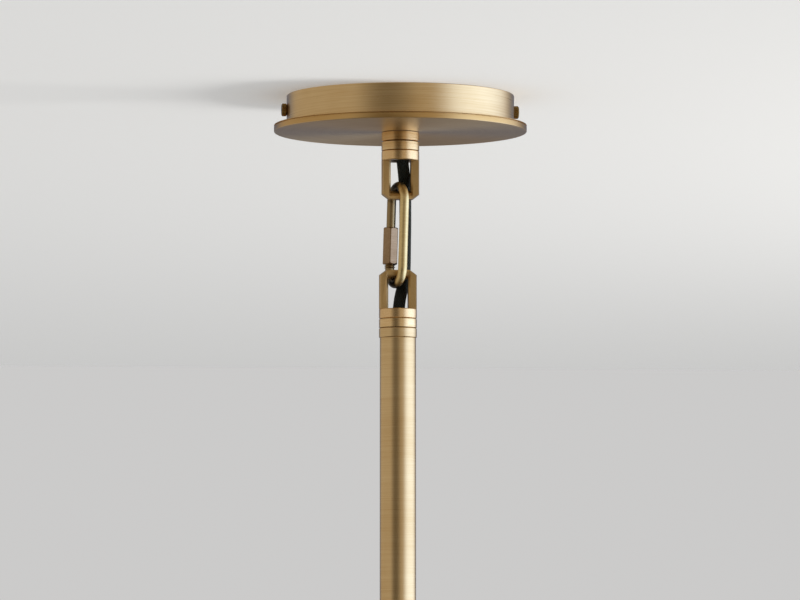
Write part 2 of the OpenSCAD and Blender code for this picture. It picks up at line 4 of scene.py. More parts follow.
import bmesh
import bpy
import numpy as np
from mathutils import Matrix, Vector
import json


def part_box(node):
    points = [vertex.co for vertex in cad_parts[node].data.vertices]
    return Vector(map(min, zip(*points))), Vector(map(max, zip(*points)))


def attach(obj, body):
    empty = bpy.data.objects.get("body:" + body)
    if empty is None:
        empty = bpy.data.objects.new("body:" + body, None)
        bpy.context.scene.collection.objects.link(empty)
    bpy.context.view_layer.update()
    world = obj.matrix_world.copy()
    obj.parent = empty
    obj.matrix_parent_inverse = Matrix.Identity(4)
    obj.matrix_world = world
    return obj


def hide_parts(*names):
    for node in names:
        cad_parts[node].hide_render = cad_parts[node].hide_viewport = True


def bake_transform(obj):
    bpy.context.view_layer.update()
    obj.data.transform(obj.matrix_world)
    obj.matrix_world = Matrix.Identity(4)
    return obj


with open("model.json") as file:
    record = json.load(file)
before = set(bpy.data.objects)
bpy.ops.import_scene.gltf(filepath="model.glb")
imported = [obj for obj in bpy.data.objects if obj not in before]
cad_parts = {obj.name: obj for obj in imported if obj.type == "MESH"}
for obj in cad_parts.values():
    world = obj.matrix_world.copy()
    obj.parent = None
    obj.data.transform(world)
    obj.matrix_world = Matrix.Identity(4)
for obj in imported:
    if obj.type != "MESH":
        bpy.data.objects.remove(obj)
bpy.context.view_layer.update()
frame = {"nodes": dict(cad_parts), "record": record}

MM = 0.001
BODY_OF = {node: body for body, nodes in frame["record"]["behaviour"]["bodies"].items() for node in nodes}
SLOT_OF = {part["node"]: part["material_slot"] for part in frame["record"]["subparts"]}

STIRRUP_COLLAR = 5.2 * MM  # height of the round collar of each stirrup
NIPPLE_HOLE = 6.53  # mm, radius of the holes that the canopy's nipple goes through
LINK_TURN = math.radians(-71.5)  # the quick link's plane, about the vertical
LINK_LEAN = math.radians(1.8)  # and its lean out of that plane
LINK_AT = np.array([-1.8, 0, -77.05]) * MM  # its middle

# ---------- camera ----------

VIEW_TURN = math.radians(5.5)  # the object stands turned this far from square to the camera
EYE_DISTANCE = 2.445  # level distance to the pendant's axis
EYE_Z = -0.3014
AIM_Z = -0.1131  # height of the picture's middle on the axis
AIM_LEFT = 0.00019  # how far the middle lies to the left of the axis
LENS = 199.8  # mm on a sensor 36 mm wide


def linked(name, data):
    """A new object in the scene, at the origin."""
    obj = bpy.data.objects.new(name, data)
    bpy.context.collection.objects.link(obj)
    return obj


def make_camera():
    """A long lens that looks slightly up at the canopy, with no shift."""
    away = Vector((math.sin(VIEW_TURN), math.cos(VIEW_TURN), 0))
    right = Vector((away.y, -away.x, 0))
    data = bpy.data.cameras.new("camera")
    data.sensor_width = 36
    data.lens = LENS
    data.clip_end = 60
    camera = linked("camera", data)
    camera.location = -away * EYE_DISTANCE + Vector((0, 0, EYE_Z))
    aim = Vector((0, 0, AIM_Z)) - right * AIM_LEFT
    camera.rotation_mode = "QUATERNION"
    camera.rotation_quaternion = (aim - camera.location).to_track_quat("-Z", "Y")
    bpy.context.scene.camera = camera


# ---------- mesh tools ----------


def smooth(mesh, sharp):
    """Smooth shading, with the edges that turn by more than the sharp angle kept crisp."""
    mesh.polygons.foreach_set("use_smooth", np.ones(len(mesh.polygons), bool))
    mesh.set_sharp_from_angle(angle=math.radians(sharp))


def shaped(name, points, faces, sharp=35.0):
    """A smooth-shaded mesh object from points and faces."""
    mesh = bpy.data.meshes.new(name)
    mesh.from_pydata(np.asarray(points).tolist(), [], faces)
    mesh.validate()
    smooth(mesh, sharp)
    return linked(name, mesh)


def turns(count):
    """The angles of points spread evenly over one turn."""
    return np.linspace(0, 2 * math.pi, count, endpoint=False)


def run_along(path):
    """The length from a path's start to each of its points."""
    return np.concatenate([[0], np.cumsum(np.linalg.norm(np.diff(path, axis=0), axis=1))])


def grid_faces(rows, cols, wrap_rows, wrap_cols):
    """Quads between neighbouring points of a rows x cols grid, closed round on itself where asked."""
    i, j = np.meshgrid(np.arange(rows - (not wrap_rows)), np.arange(cols - (not wrap_cols)), indexing="ij")
    a, b = i * cols + j, i * cols + (j + 1) % cols
    c, d = (i + 1) % rows * cols + (j + 1) % cols, (i + 1) % rows * cols + j
    return np.stack([a, b, c, d], -1).reshape(-1, 4).tolist()


def rounded(corners, radii):
    """A closed outline whose corners become arcs, each tangent to both of its sides. One more point on either
    side of an arc, a little past its end, keeps the shading of the sides flat."""
    corners = np.asarray(corners, float)
    past = 1.25
    outline = []
    for before, corner, after, r in zip(np.roll(corners, 1, 0), corners, np.roll(corners, -1, 0), radii):
        if r <= 0:
            outline.append(corner)
            continue
        u, v = before - corner, after - corner
        u, v = u / np.linalg.norm(u), v / np.linalg.norm(v)
        half = math.acos(np.clip(u @ v, -1, 1)) / 2
        reach = r / math.tan(half)
        centre = corner + (u + v) / np.linalg.norm(u + v) * r / math.sin(half)
        start, end = corner + u * reach - centre, corner + v * reach - centre
        outline.append(corner + u * reach * past)
        for t in np.linspace(0, 1, 5):
            mix = start * (1 - t) + end * t
            outline.append(centre + mix / np.linalg.norm(mix) * r)
        outline.append(corner + v * reach * past)
    return np.array(outline)


def radial_grid(name, radius, levels, axis_x=0.0, sharp=35.0, closed=True):
    """Rows of points round the vertical axis: radius may change with the angle, each row has its own height."""
    rows, segments = radius.shape
    turn = turns(segments)
    x, y = axis_x + radius * np.cos(turn), radius * np.sin(turn)
    points = np.stack([x, y, np.broadcast_to(np.asarray(levels)[:, None], x.shape)], -1).reshape(-1, 3)
    return weld(shaped(name, points, grid_faces(rows, segments, closed, True), sharp), sharp)


def lathe(name, outline, axis_x=0.0, segments=192, sharp=35.0):
    """A closed outline of (radius, height) points, turned once round the vertical axis at x = axis_x."""
    r, z = np.asarray(outline, float).T
    return radial_grid(name, np.repeat(r[:, None], segments, 1), z, axis_x, sharp)


def weld(obj, sharp=35.0):
    """Merges points that lie on each other, drops flat faces, and turns all faces outward."""
    bm = bmesh.new()
    bm.from_mesh(obj.data)
    bmesh.ops.remove_doubles(bm, verts=bm.verts, dist=2e-7)
    bmesh.ops.dissolve_degenerate(bm, dist=1e-8, edges=bm.edges)
    bmesh.ops.recalc_face_normals(bm, faces=bm.faces)
    bm.to_mesh(obj.data)
    bm.free()
    smooth(obj.data, sharp)
    return obj


def joined(name, parts, sharp):
    """One welded object from several sets of points and faces."""
    points, faces, count = [], [], 0
    for verts, quads in parts:
        points.append(verts)
        faces += [[v + count for v in face] for face in quads]
        count += len(verts)
    return weld(shaped(name, np.vstack(points), faces, sharp), sharp)


def smooth_path(route, step):
    """Points about one step apart on a Catmull-Rom curve through the route's points."""
    route = np.asarray(route, float)
    ends = np.vstack([2 * route[0] - route[1], route, 2 * route[-1] - route[-2]])
    out = []
    for p0, p1, p2, p3 in zip(ends[:-3], ends[1:-2], ends[2:-1], ends[3:]):
        count = max(2, int(np.linalg.norm(p2 - p1) / step))
        t = np.linspace(0, 1, count, endpoint=False)[:, None]
        out.append(0.5 * (2 * p1 + (p2 - p0) * t + (2 * p0 - 5 * p1 + 4 * p2 - p3) * t**2
                          + (3 * p1 - p0 - 3 * p2 + p3) * t**3))
    return np.vstack(out + [route[-1:]])


def path_frames(path):
    """Tangents and two crosswise directions along a path, turned as little as possible."""
    tangent = np.gradient(path, axis=0)
    tangent /= np.linalg.norm(tangent, axis=1)[:, None]
    side = np.cross(tangent[0], [0.3, 1.0, 0.1])  # any direction that no path here starts along
    sides = []
    for t in tangent:
        side = side - t * (side @ t)
        side = side / np.linalg.norm(side)
        sides.append(side)
    sides = np.array(sides)
    return tangent, sides, np.cross(tangent, sides)


def tube_parts(path, radius, sides):
    """Points and faces of a closed tube along a path, whose radius is a (points x sides) array."""
    _, a, b = path_frames(path)
    turn = turns(sides)
    ring = a[:, None] * np.cos(turn)[None, :, None] + b[:, None] * np.sin(turn)[None, :, None]
    points = (path[:, None] + ring * radius[..., None]).reshape(-1, 3)
    faces = grid_faces(len(path), sides, False, True)
    faces.append(list(range(sides))[::-1])
    faces.append([(len(path) - 1) * sides + k for k in range(sides)])
    return points, faces


def tube(name, path, radius, sides=24, start=0.0):
    """A round tube along a path, with a surface map: u runs once round it, v is the length in metres."""
    path = np.asarray(path, float)
    radius = np.broadcast_to(np.asarray(radius, float), (len(path), sides))
    points, faces = tube_parts(path, radius, sides)
    obj = shaped(name, points, faces, 60)
    along = start + run_along(path)
    loops = np.empty(len(obj.data.loops), int)
    obj.data.loops.foreach_get("vertex_index", loops)
    u, v = (loops % sides) / sides, along[loops // sides]
    walls = loops[: 4 * (len(path) - 1) * sides].reshape(-1, 4) % sides
    last = (walls == 0) & (walls.max(1) == sides - 1)[:, None]
    u[: walls.size][last.ravel()] = 1.0
    obj.data.uv_layers.new(name="surface").data.foreach_set("uv", np.stack([u, v], -1).ravel())
    bm = bmesh.new()
    bm.from_mesh(obj.data)
    bmesh.ops.recalc_face_normals(bm, faces=bm.faces)
    bm.to_mesh(obj.data)
    bm.free()
    return obj


def softened(name, node, width, angle=32.0):
    """A welded copy of a CAD node with its flat faces joined and its sharp edges rounded over."""
    bm = bmesh.new()
    bm.from_mesh(frame["nodes"][node].data)
    bmesh.ops.remove_doubles(bm, verts=bm.verts, dist=2e-6)
    bmesh.ops.dissolve_limit(bm, angle_limit=math.radians(0.5), verts=bm.verts, edges=bm.edges)
    mesh = bpy.data.meshes.new(name)
    bm.to_mesh(mesh)
    bm.free()
    obj = linked(name, mesh)
    smooth(mesh, angle)
    bevel = obj.modifiers.new("edge", "BEVEL")
    bevel.width = width
    bevel.segments = 3
    bevel.limit_method = "ANGLE"
    bevel.angle_limit = math.radians(angle)
    bevel.harden_normals = True
    bevel.use_clamp_overlap = True
    return obj


def stand_for(obj, node, material):
    """The piece takes a CAD node's place, in the given material."""
    obj.data.materials.clear()
    obj.data.materials.append(material)
    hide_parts(node)


def dress(obj, node, material):
    """The piece takes a CAD node's place and rides on its body."""
    stand_for(obj, node, material)
    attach(obj, BODY_OF[node])


# ---------- material tools ----------


class Nodes:
    """Short calls for building a node tree. A value may be a plain value or another node's output."""

    def __init__(self, tree):
        self.tree = tree

    def link(self, a, b):
        self.tree.links.new(a, b)

    def feed(self, value, socket):
        if isinstance(value, bpy.types.NodeSocket):
            self.link(value, socket)
        else:
            socket.default_value = value

    def fill(self, node, **inputs):
        """Feeds a node's inputs by name: _ stands for a space."""
        for key, value in inputs.items():
            self.feed(value, node.inputs[key.replace("_", " ")])
        return node

    def add(self, kind, **inputs):
        return self.fill(self.tree.nodes.new(kind), **inputs)

    def math(self, operation, a, b=0.0, c=None):
        node = self.tree.nodes.new("ShaderNodeMath")
        node.operation = operation
        for value, socket in zip((a, b, c), node.inputs):
            if value is not None:
                self.feed(value, socket)
        return node.outputs[0]

    def mix(self, factor, a, b):
        """Colour a where the factor is 0 and colour b where it is 1."""
        node = self.tree.nodes.new("ShaderNodeMix")
        node.data_type = "RGBA"
        for value, index in ((factor, 0), (a, 6), (b, 7)):
            self.feed(value, node.inputs[index])
        return node.outputs[2]

    def ramp(self, value, start, end):
        """A smooth step from 0 at the start to 1 at the end."""
        step = self.add("ShaderNodeMapRange", Value=value, From_Min=start, From_Max=end)
        step.interpolation_type = "SMOOTHSTEP"
        return step.outputs[0]

    def place(self):
        """The X, Y and Z of a point in its object's own frame."""
        return self.add("ShaderNodeSeparateXYZ", Vector=self.add("ShaderNodeTexCoord").outputs["Object"]).outputs

    def flatness(self):
        """1 on level faces, 0 on upright ones."""
        normal = self.add("ShaderNodeNewGeometry").outputs["True Normal"]
        return self.math("ABSOLUTE", self.add("ShaderNodeSeparateXYZ", Vector=normal).outputs["Z"])

    def relief(self, shader, height, depth):
        """Bumps a surface: a height of 1 stands the depth, in metres, above a height of 0."""
        bump = self.add("ShaderNodeBump", Height=height, Strength=1.0, Distance=depth)
        self.fill(shader, Normal=bump.outputs[0])


def node_group(name, inputs, outputs):
    """An empty shader node group with named float inputs (name, default) and named outputs (name, type)."""
    group = bpy.data.node_groups.new(name, "ShaderNodeTree")
    for label, default in inputs:
        socket = group.interface.new_socket(label, in_out="INPUT", socket_type="NodeSocketFloat")
        socket.default_value = default
    for label, kind in outputs:
        group.interface.new_socket(label, in_out="OUTPUT", socket_type=kind)
    nodes = Nodes(group)
    return group, nodes, nodes.add("NodeGroupInput"), nodes.add("NodeGroupOutput")


def turned_lines_group():
    """Fine lines left by brushing on a lathe: they run round the axis, so they change with height and radius.
    A slow run along x and y besides makes each line end somewhere. Streaks are the same lines, wider, and
    patina is a soft cloud."""
    drift, widening, clouds = 22.0, 0.14, 26.0
    group, n, given, result = node_group(
        "turned lines",
        [("Axis X", 0.0), ("Lines per mm", 2.0)],
        [("Lines", "NodeSocketFloat"), ("Streaks", "NodeSocketFloat"), ("Patina", "NodeSocketFloat")],
    )
    place = n.add("ShaderNodeTexCoord").outputs["Object"]
    split = n.add("ShaderNodeSeparateXYZ", Vector=place)
    x = n.math("SUBTRACT", split.outputs["X"], given.outputs["Axis X"])
    y = split.outputs["Y"]
    r = n.math("SQRT", n.math("ADD", n.math("MULTIPLY", x, x), n.math("MULTIPLY", y, y)))
    pitch = n.math("MULTIPLY", given.outputs["Lines per mm"], 1000.0)
    run = n.add("ShaderNodeCombineXYZ",
                X=n.math("ADD", n.math("MULTIPLY", r, pitch), n.math("MULTIPLY", x, drift)),
                Y=n.math("ADD", n.math("MULTIPLY", split.outputs["Z"], pitch), n.math("MULTIPLY", y, drift)))
    fine = n.add("ShaderNodeTexNoise", Vector=run.outputs[0], Scale=1.0, Detail=3.0, Roughness=0.7)
    wide = n.add("ShaderNodeVectorMath", Vector=run.outputs[0])
    wide.operation = "SCALE"
    wide.inputs["Scale"].default_value = widening
    streaks = n.add("ShaderNodeTexNoise", Vector=wide.outputs[0], Scale=1.0, Detail=2.0, Roughness=0.5)
    patina = n.add("ShaderNodeTexNoise", Vector=place, Scale=clouds, Detail=3.0, Roughness=0.55)
    n.fill(result, Lines=fine.outputs[0], Streaks=streaks.outputs[0], Patina=patina.outputs[0])
    return group


def new_material(name):
    """A material, the short calls for its tree, and its shader."""
    material = bpy.data.materials.new(name)
    material.use_nodes = True
    tree = material.node_tree
    return material, Nodes(tree), tree.nodes["Principled BSDF"]


def turned_brass(name, group, axis_x, warm, pale, roughness=0.3, lines=1.5, depth=0.000016, brushed=0.6, flat=0.0):
    """Burnished brass, brushed round its axis, that goes between a warm and a pale tone. lines = lines a mm,
    depth = their depth in metres, brushed = how far a highlight is drawn out, flat = how much duller level
    faces are."""
    material, n, shader = new_material(name)
    turned = n.add("ShaderNodeGroup")
    turned.node_tree = group
    n.fill(turned, Axis_X=axis_x, Lines_per_mm=lines)
    drift = n.math("MULTIPLY_ADD", turned.outputs["Streaks"], 0.25, n.math("MULTIPLY", turned.outputs["Patina"], 0.5))
    drift = n.math("MULTIPLY_ADD", turned.outputs["Lines"], 0.9, drift)
    tone = n.add("ShaderNodeMapRange", Value=drift, From_Min=0.65, From_Max=1.0)
    rough = n.math("MULTIPLY_ADD", turned.outputs["Lines"], 0.16, roughness - 0.08)
    if flat:
        rough = n.math("MULTIPLY_ADD", n.flatness(), flat, rough)
    n.fill(shader, Base_Color=n.mix(tone.outputs[0], (*warm, 1), (*pale, 1)), Roughness=rough, Metallic=1.0,
           Coat_Weight=0.1, Coat_Roughness=0.3)
    if brushed:
        round_z = n.add("ShaderNodeTangent")
        round_z.direction_type = "RADIAL"
        round_z.axis = "Z"
        n.fill(shader, Tangent=round_z.outputs[0], Anisotropic=brushed, Anisotropic_Rotation=0.25)
    n.relief(shader, turned.outputs["Lines"], depth)
    return material


def gained(material, mask, colour):
    """Multiplies a material's own colour by another colour where the mask is 1."""
    n = Nodes(material.node_tree)
    base = material.node_tree.nodes["Principled BSDF"].inputs["Base Color"]
    gain = n.add("ShaderNodeVectorMath")
    gain.operation = "MULTIPLY"
    n.link(base.links[0].from_socket, gain.inputs[0])
    n.link(n.mix(mask, (1, 1, 1, 1), (*colour, 1)), gain.inputs[1])
    n.link(gain.outputs[0], base)


def darker_disc_rim(material):
    """The disc's upright rim is darker than its flat faces and its rounded edges."""
    n = Nodes(material.node_tree)
    gained(material, n.math("LESS_THAN", n.flatness(), 0.2), (0.84, 0.74, 0.56))
    return material


def stirrup_collar_painted_lighter(material):
    """The round collar of each stirrup is painted brighter and paler than its milled legs, a painted highlight on the
    same brass, and is smoother: the upper collar is what lies above the legs of the upper stirrup, the lower one what
    lies below those of the lower stirrup."""
    n = Nodes(material.node_tree)
    shader = material.node_tree.nodes["Principled BSDF"]
    height = n.place()["Z"]
    above = n.math("GREATER_THAN", height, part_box("upper_stirrup")[1].z - STIRRUP_COLLAR)
    below = n.math("LESS_THAN", height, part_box("lower_stirrup")[0].z + STIRRUP_COLLAR)
    collar = n.math("MAXIMUM", above, below)
    # painted highlight: the collar's colour is raised above that of the legs
    gained(material, collar, (1.38, 1.43, 1.7))
    rough = shader.inputs["Roughness"].links[0].from_socket
    n.fill(shader, Roughness=n.math("MULTIPLY_ADD", collar, -0.14, rough))
    return material


def link_painted_shade(material):
    """Painted shade and painted reflection on the quick link: dark brown on the arm behind, where the black cord is
    mirrored, and nearly black painted shade round the back half of each bend.
    across = the distance toward the front arm in the link's plane, along = the height above its middle."""
    n = Nodes(material.node_tree)
    shader = material.node_tree.nodes["Principled BSDF"]
    place = n.place()
    x = n.math("MULTIPLY", n.math("SUBTRACT", place["X"], LINK_AT[0]), math.cos(LINK_TURN))
    across = n.math("MULTIPLY_ADD", place["Y"], math.sin(LINK_TURN), x)
    along = n.math("ABSOLUTE", n.math("SUBTRACT", place["Z"], LINK_AT[2]))
    behind = n.ramp(n.math("MULTIPLY", across, -1.0), -6.0 * MM, -2.0 * MM)
    bend = n.ramp(along, 17.5 * MM, 22.0 * MM)
    unshaded_colour = shader.inputs["Base Color"].links[0].from_socket
    # painted shade: the arm behind is mixed toward dark brown and the back of each bend toward near black
    brown = n.mix(n.math("MULTIPLY", behind, 0.85), unshaded_colour, (0.3, 0.21, 0.11, 1))
    n.fill(shader, Base_Color=n.mix(n.math("MULTIPLY", behind, bend), brown, (0.07, 0.055, 0.035, 1)))
    return material


def plain_finish(name, colour, roughness, metallic=0.0):
    """A moulded, plated or painted finish with a faint mottle in its colour and gloss."""
    material, n, shader = new_material(name)
    place = n.add("ShaderNodeTexCoord").outputs["Object"]
    mottle = n.add("ShaderNodeTexNoise", Vector=place, Scale=900.0, Detail=3.0)
    speckle = 0.06
    dark, light = ([c * gain for c in colour] for gain in (1 - speckle, 1 + speckle))
    n.fill(shader, Base_Color=n.mix(mottle.outputs[0], (*dark, 1), (*light, 1)), Metallic=metallic,
           Roughness=n.math("MULTIPLY_ADD", mottle.outputs[0], 0.12, roughness - 0.06))
    return material


def braid_material():
    """Black textile braid: two sets of yarns crossing over each other, read from the cord's own surface map."""
    columns, row = 8, 0.0042
    material, n, shader = new_material("black_braid")
    split = n.add("ShaderNodeSeparateXYZ", Vector=n.add("ShaderNodeUVMap").outputs[0])
    around = n.math("MULTIPLY", split.outputs["X"], 2 * math.pi * columns)
    along = n.math("MULTIPLY", split.outputs["Y"], 2 * math.pi / row)
    left = n.math("SINE", n.math("ADD", around, along))
    right = n.math("SINE", n.math("SUBTRACT", around, along))
    weave = n.math("MULTIPLY", left, right)
    height = n.math("MULTIPLY_ADD", n.math("ABSOLUTE", weave), 0.8, n.math("MULTIPLY", left, 0.15))
    # painted shade: the weave's low places are darker than the yarns' raised backs
    tone = n.mix(height, (0.003, 0.005, 0.002, 1), (0.013, 0.017, 0.01, 1))
    n.fill(shader, Base_Color=tone, Roughness=0.75, Sheen_Weight=0.14, Sheen_Roughness=0.4)
    n.relief(shader, height, 0.0004)
    return material


def glass_material():
    """Clear, faintly warm glass."""
    material, n, shader = new_material("bulb_glass")
    n.fill(shader, Base_Color=(0.98, 0.96, 0.92, 1), Roughness=0.02, Transmission_Weight=1.0, IOR=1.45)
    return material


# ---------- pieces ----------


def ends_of(node):
    """Outer radius, x of the axis, top and foot of a CAD node that is round about the vertical."""
    low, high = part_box(node)
    return (high.y - low.y) / 2, (high.x + low.x) / 2, high.z, low.z


def ends_mm(node):
    """The same in millimetres."""
    return [value / MM for value in ends_of(node)]


def turned(node, corners, radii, segments=160):
    """A round piece from its section's corners, (radius, height), with each corner rounded."""
    return lathe(node + "_turned", rounded(np.asarray(corners) * MM, np.asarray(radii) * MM),
                 ends_of(node)[1], segments)


def make_drum():
    """The canopy's drum: a thin wall with softened edges, and the inner flange."""
    r, _, _, foot = ends_mm("canopy_drum")
    wall, flange = 1.2, 12.2
    corners = [(r - flange, foot), (r, foot), (r, 0), (r - wall, 0), (r - wall, foot + wall),
               (r - flange, foot + wall)]
    return turned("canopy_drum", corners, [0.3, 0.2, 0.2, 0.35, 0.4, 0.3], 288)


def make_disc():
    """The canopy's disc. A fine groove runs round its rim, just below the upper edge."""
    r, _, top, foot = ends_mm("canopy_disc")
    bed = r - 1.2
    corners = [(NIPPLE_HOLE, foot), (r, foot), (r, top - 1.05), (bed, top - 0.95), (bed, top - 0.35),
               (r, top - 0.25), (r, top), (NIPPLE_HOLE, top)]
    return turned("canopy_disc", corners, [0.2, 0.5, 0.1, 0.1, 0.1, 0.06, 0.1, 0.2], 288)


def make_ring(node):
    """A collar ring: a plain band whose two edges are cut back, so that a dark line shows between rings."""
    r, _, top, foot = ends_mm(node)
    cut, rise = 1.2, 0.36
    corners = [(NIPPLE_HOLE, foot), (r - cut, foot), (r, foot + rise), (r, top - rise), (r - cut, top),
               (NIPPLE_HOLE, top)]
    return turned(node, corners, [0, 0, 0.1, 0.1, 0, 0])


def make_plug():
    """The stem's plug: a collar ring above, and the spigot that goes into the outer tube."""
    r, _, top, foot = ends_mm("stem_plug")
    bore, spigot, low, cut = 4.8, 8.97, top - 5.3, 0.35
    corners = [(bore, foot), (spigot, foot), (spigot, low), (r - cut, low), (r, low + cut), (r, top - cut),
               (r - cut, top), (bore, top)]
    return turned("stem_plug", corners, [0.2, 0.4, 0, 0.12, 0.12, 0.12, 0.12, 0.2])


def make_tube(node, wall, edge):
    """A plain tube with softly rounded ends."""
    r, _, top, foot = ends_mm(node)
    corners = [(r - wall, foot), (r, foot), (r, top), (r - wall, top)]
    return turned(node, corners, [edge] * 4)


# The cord's route in mm: from the canopy's nipple to behind the link, and from there into the stem's plug.
CORD_UPPER = [
    (0, 0, -7.1), (0.1, 0, -16), (0.4, 0, -22), (0.7, 0.3, -28.5), (1.4, 1.6, -36), (2.3, 3.9, -42.5),
    (3.1, 6.5, -48.5), (3.5, 8.1, -54.5), (3.6, 8.6, -61), (3.6, 8.6, -69), (3.5, 8.6, -77),
]
CORD_LOWER = [
    (3.5, 8.6, -77), (3.4, 8.6, -85), (3.3, 8.5, -92), (3, 8.2, -98.5), (2.2, 7, -104.5),
    (0.6, 4.7, -110.5), (-0.5, 2.2, -116.5), (-1.1, 0.6, -123), (-1.35, 0.1, -130),
    (-1.35, 0, -138), (-1.35, 0, -148.1),
]
CORD_R = 3.35 * MM
YARNS = 12
YARN_BACK = 0.18 * MM  # how far a yarn stands out
LAY = 11 * MM


def braided(name, path, start):
    """A braided cord. Two sets of yarns wind opposite ways: phase = yarns * angle +- turns of the lay, and
    whichever set is on top raises the radius by its rounded back."""
    along = start + run_along(path)
    sides = 96
    turn = turns(sides)[None]
    run = 2 * math.pi * YARNS * along[:, None] / LAY
    left, right = YARNS * turn + run, YARNS * turn - run
    back = np.where(np.sin((left + right) / 4) ** 2 > 0.5, np.abs(np.cos(left / 2)), np.abs(np.cos(right / 2)))
    radius = CORD_R - YARN_BACK + YARN_BACK * back ** 0.7
    return tube(name, path, radius, sides, start)


def make_cord(material):
    """The cord in two pieces that meet behind the link."""
    whole = smooth_path(np.array(CORD_UPPER + CORD_LOWER[1:]) * MM, 0.22 * MM)
    meeting = int(np.argmin(np.abs(whole[:, 2] - CORD_UPPER[-1][2] * MM)))
    halves = ((whole[: meeting + 1], "cord_upper", "ceiling_mount", "link", -0.036, -0.077),
              (whole[meeting:], "cord_lower", "link", "stem", -0.077, -0.118))
    start = 0.0
    for path, node, above, below, first, last in halves:
        length = float(np.linalg.norm(np.diff(path, axis=0), axis=1).sum())
        piece = braided(node + "_braided", path, start)
        start += length
        stand_for(piece, node, material)
        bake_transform(piece)


def make_coil(material):
    """The curly lead inside the stem: a helix between two straight ends on the axis."""
    _, x, top, foot = ends_of("coiled_lead")
    turns_of_lead, wire, r = 26, 1.9 * MM, 5.4 * MM
    t = np.linspace(0, 1, turns_of_lead * 36)
    swell = np.clip(np.minimum(t, 1 - t) * turns_of_lead, 0, 1)
    swell = swell * swell * (3 - 2 * swell)
    low, high = foot + wire, top - wire
    turn = 2 * math.pi * turns_of_lead * t
    path = np.stack([x + r * swell * np.cos(turn), r * swell * np.sin(turn), high + (low - high) * t], -1)
    piece = tube("coiled_lead_wound", path, wire, 12)
    stand_for(piece, "coiled_lead", material)
    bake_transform(piece)


# The quick link in its own plane, from its middle.
WIRE_R = 2.5 * MM
THREAD_R = 3.1 * MM
ARM_U = 8.8 * MM  # from the middle to each arm, and the bends' radius
ARM_HALF = 18.35 * MM  # half the arms' length
GATE_TOP, GATE_LOW = -4.9 * MM, -11.4 * MM
SLEEVE_TOP, SLEEVE_L, SLEEVE_AF = 4.7 * MM, 20.4 * MM, 8 * MM  # top, length and width across the flats


def from_link_plane(points):
    """Takes points from the link's own plane, x across and z along it, to where it hangs."""
    points = np.asarray(points, float)
    c, s = math.cos(-LINK_LEAN), math.sin(-LINK_LEAN)
    x, y, z = points.T
    y, z = y * c - z * s, y * s + z * c
    c, s = math.cos(LINK_TURN), math.sin(LINK_TURN)
    return np.stack([x * c - y * s, x * s + y * c, z], -1) + LINK_AT


def make_link():
    """The open link: one wire from the gate's upper end, round both bends, to its lower end.
    The lower end has a coarse thread: radius = crest - depth * (1 + cos(2 pi z / pitch - angle)) / 2."""
    step = 0.12 * MM
    up = np.arange(GATE_TOP, ARM_HALF, step)
    bend = np.linspace(math.pi, 0, 80)
    down = np.linspace(ARM_HALF, -ARM_HALF, 80)
    back = np.arange(-ARM_HALF, GATE_LOW, step)
    flat = np.vstack([
        np.stack([np.full_like(up, -ARM_U), up], -1),
        np.stack([ARM_U * np.cos(bend), ARM_HALF + ARM_U * np.sin(bend)], -1),
        np.stack([np.full_like(down, ARM_U), down], -1),
        np.stack([ARM_U * np.cos(math.pi - bend), -ARM_HALF - ARM_U * np.sin(bend)], -1),
        np.stack([np.full_like(back, -ARM_U), back], -1),
    ])
    flat = flat[np.concatenate([[True], np.linalg.norm(np.diff(flat, axis=0), axis=1) > 1e-6])]
    sides = 40
    turn = turns(sides)
    z = flat[:, 1]
    low = SLEEVE_TOP - SLEEVE_L - 2.6 * MM
    on_stub = (flat[:, 0] < -ARM_U + 1e-6) & (z < (GATE_TOP + GATE_LOW) / 2)
    cut = np.clip((z - low) / (0.5 * MM), 0, 1) * np.clip((GATE_LOW - z) / (0.8 * MM), 0, 1) * on_stub
    pitch, depth = 1.15 * MM, 0.75 * MM
    wave = 0.5 + 0.5 * np.cos(2 * math.pi * z[:, None] / pitch - turn)
    radius = WIRE_R + (THREAD_R - WIRE_R - depth * wave ** 0.8) * cut[:, None]
    path = from_link_plane(np.stack([flat[:, 0], np.zeros(len(flat)), flat[:, 1]], -1))
    return tube("quick_link_wire", path, radius, sides)


def hexagon(turn, half, corner):
    """Radius of a hexagon at each angle, half its width across the flats being half."""
    return half / np.cos((turn - corner) % (math.pi / 3) - math.pi / 6)


def make_sleeve():
    """A six-sided nut whose corners are turned off at both ends: radius = min(hexagon, cone of the end)."""
    half = SLEEVE_AF / 2
    ends = np.linspace(0, 1.3 * MM, 10)
    heights = np.concatenate([ends, [SLEEVE_L * 0.5], SLEEVE_L - ends[::-1]])
    sides = 180
    turn = turns(sides)
    six = np.minimum(hexagon(turn, half, math.radians(-24)), half / math.cos(math.pi / 6) - 0.14 * MM)
    end = np.minimum(heights, SLEEVE_L - heights)
    outer = np.minimum(six[None], (half - 0.25 * MM + end * 0.9)[:, None])
    neck, bore = np.full(sides, WIRE_R + 0.06 * MM), np.full(sides, THREAD_R + 0.06 * MM)
    rings = np.array([bore, *outer, neck, neck, bore])
    inside = [SLEEVE_L, SLEEVE_L - 2 * MM, SLEEVE_L - 2.6 * MM]
    levels = np.concatenate([heights[:1], heights, inside]) + SLEEVE_TOP - SLEEVE_L
    points = np.stack([rings * np.cos(turn) - ARM_U, rings * np.sin(turn),
                       np.broadcast_to(levels[:, None], rings.shape)], -1)
    obj = shaped("link_sleeve_nut", from_link_plane(points.reshape(-1, 3)),
                 grid_faces(len(levels), sides, True, True), 25)
    return weld(obj, 25)


